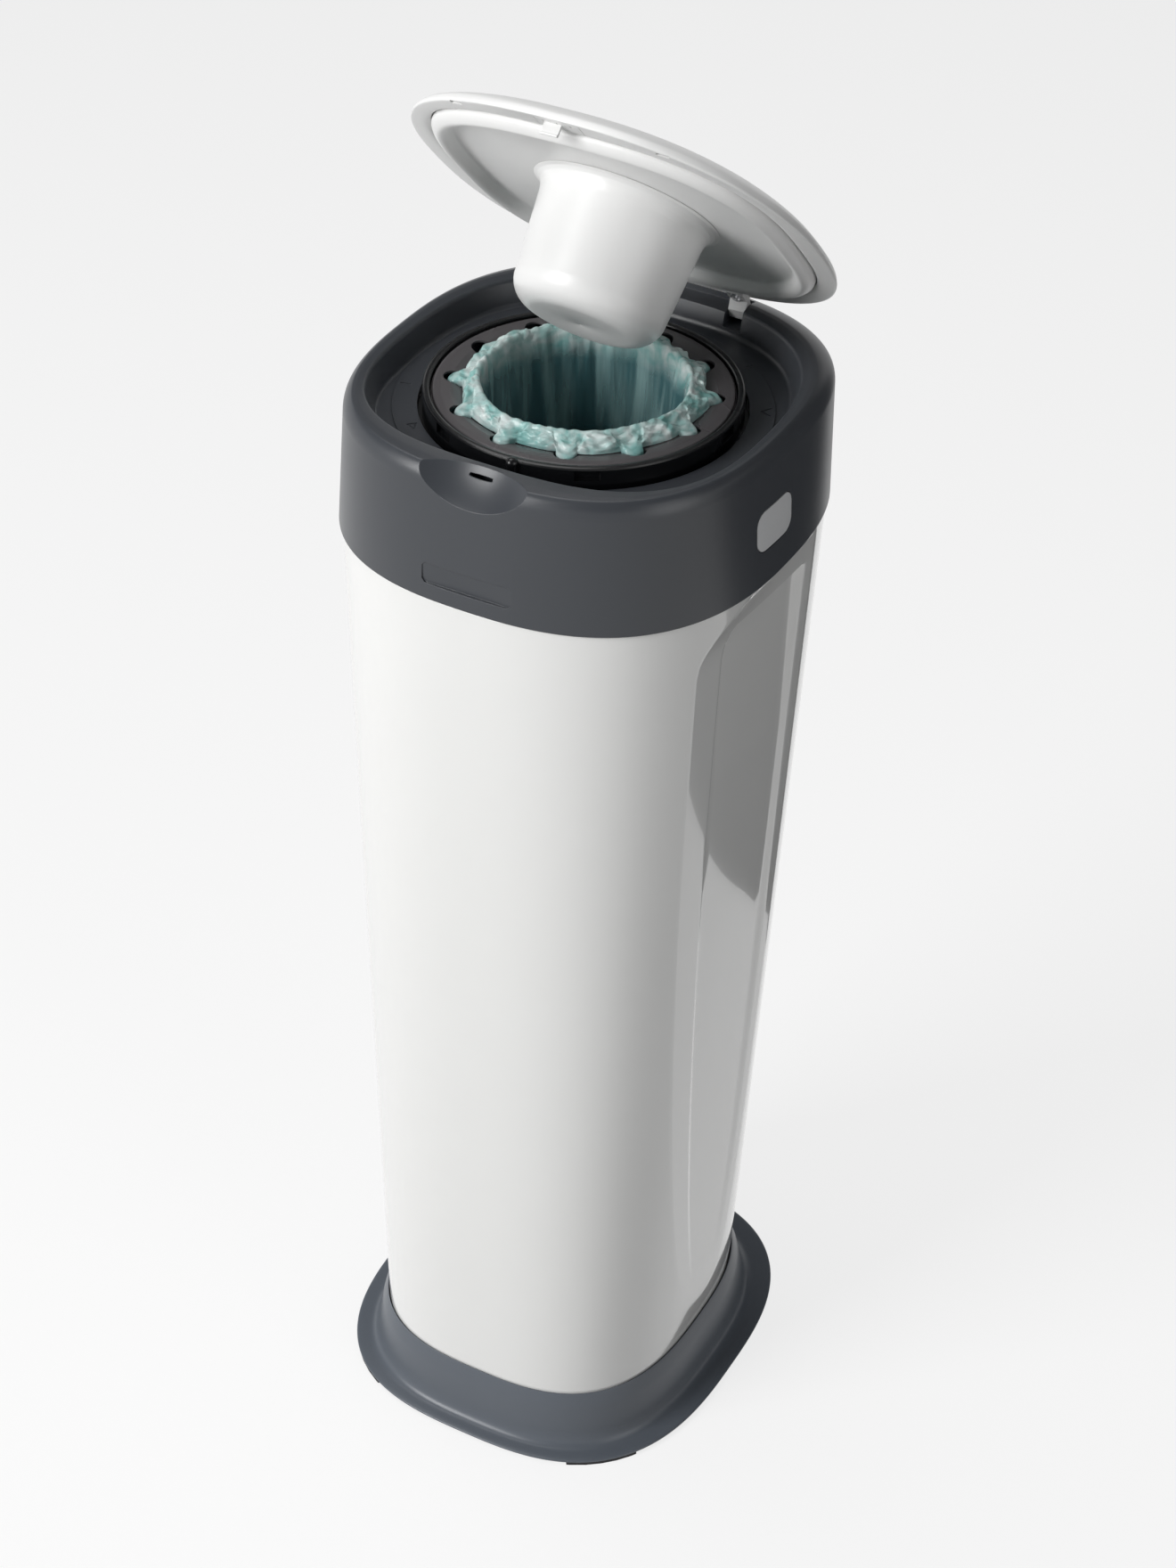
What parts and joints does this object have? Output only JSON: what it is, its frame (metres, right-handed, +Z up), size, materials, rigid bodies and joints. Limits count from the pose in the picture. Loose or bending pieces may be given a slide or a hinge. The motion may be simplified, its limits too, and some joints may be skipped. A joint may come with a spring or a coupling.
{
  "type": "nappy bin",
  "caption": "Tall tapered nappy bin on a flared foot, with a lift-off head that holds a turning ring and film cassette, and a half-open domed lid with a plunger cup.",
  "frame": {"origin": "on the floor, under the centre of the film throat and turning ring", "axes": "+Z up, -Y towards the front with the finger dip, +X to the right when the viewer looks along +Y at the front"},
  "size_m": [0.2562, 0.2791, 0.8922],
  "materials": {
    "tub": "smooth glossy white",
    "foot": "satin dark blue-grey",
    "pads": "matte black",
    "steel": "plain zinc-plated",
    "collar": "satin dark grey",
    "housing": "matt dark grey",
    "gripper": "pale grey",
    "cutter": "teal",
    "button": "light grey",
    "ring": "black satin",
    "cassette": "dark grey",
    "petals": "dark grey-brown satin",
    "film": "thin blue-green film",
    "lid": "smooth white",
    "liner": "satin off-white",
    "plunger": "smooth white",
    "hinge": "light grey"
  },
  "bodies": {
    "tub_unit": {"foot": "foot", "foot_pads": "pads", "foot_screws": "steel", "tub": "tub"},
    "head": {"collar": "collar", "ring_housing": "housing", "housing_screws": "steel", "click_springs": "steel", "film_gripper": "gripper", "cutter_guard": "cutter", "cutter_blade": "steel", "hinge_pins": "steel", "button_spring_right": "steel", "button_spring_left": "steel"},
    "spinner": {"twist_ring": "ring", "cassette_tray": "cassette", "cassette_cover": "petals", "film_pack": "film", "film_sleeve": "film"},
    "button_right": {"release_button_right": "button"},
    "button_left": {"release_button_left": "button"},
    "lid": {"lid_shell": "lid", "lid_liner": "liner", "plunger_cup": "plunger", "lid_catch": "liner", "lid_screws": "steel", "hinge_arm_right": "hinge", "hinge_arm_left": "hinge"}
  },
  "joints": [
    {"name": "head_lift", "type": "slide", "parent": "tub_unit", "child": "head", "axis": [0, 0, 1], "range_m": [0, 0.08]},
    {"name": "lid_hinge", "type": "hinge", "parent": "head", "child": "lid", "pos_m": [0, 0.124, 0.7115], "axis": [-1, 0, 0], "range_deg": [-45, 20]},
    {"name": "ring_twist", "type": "hinge", "parent": "head", "child": "spinner", "pos_m": [0, 0, 0.7], "axis": [0, 0, 1], "continuous": true},
    {"name": "button_right_press", "type": "slide", "parent": "head", "child": "button_right", "axis": [-1, 0, 0], "range_m": [0, 0.0035], "stiffness_N_per_m": 600, "springref_m": -0.003, "deforming": ["button_spring_right"]},
    {"name": "button_left_press", "type": "slide", "parent": "head", "child": "button_left", "axis": [1, 0, 0], "range_m": [0, 0.0035], "stiffness_N_per_m": 600, "springref_m": -0.003, "deforming": ["button_spring_left"]}
  ]
}
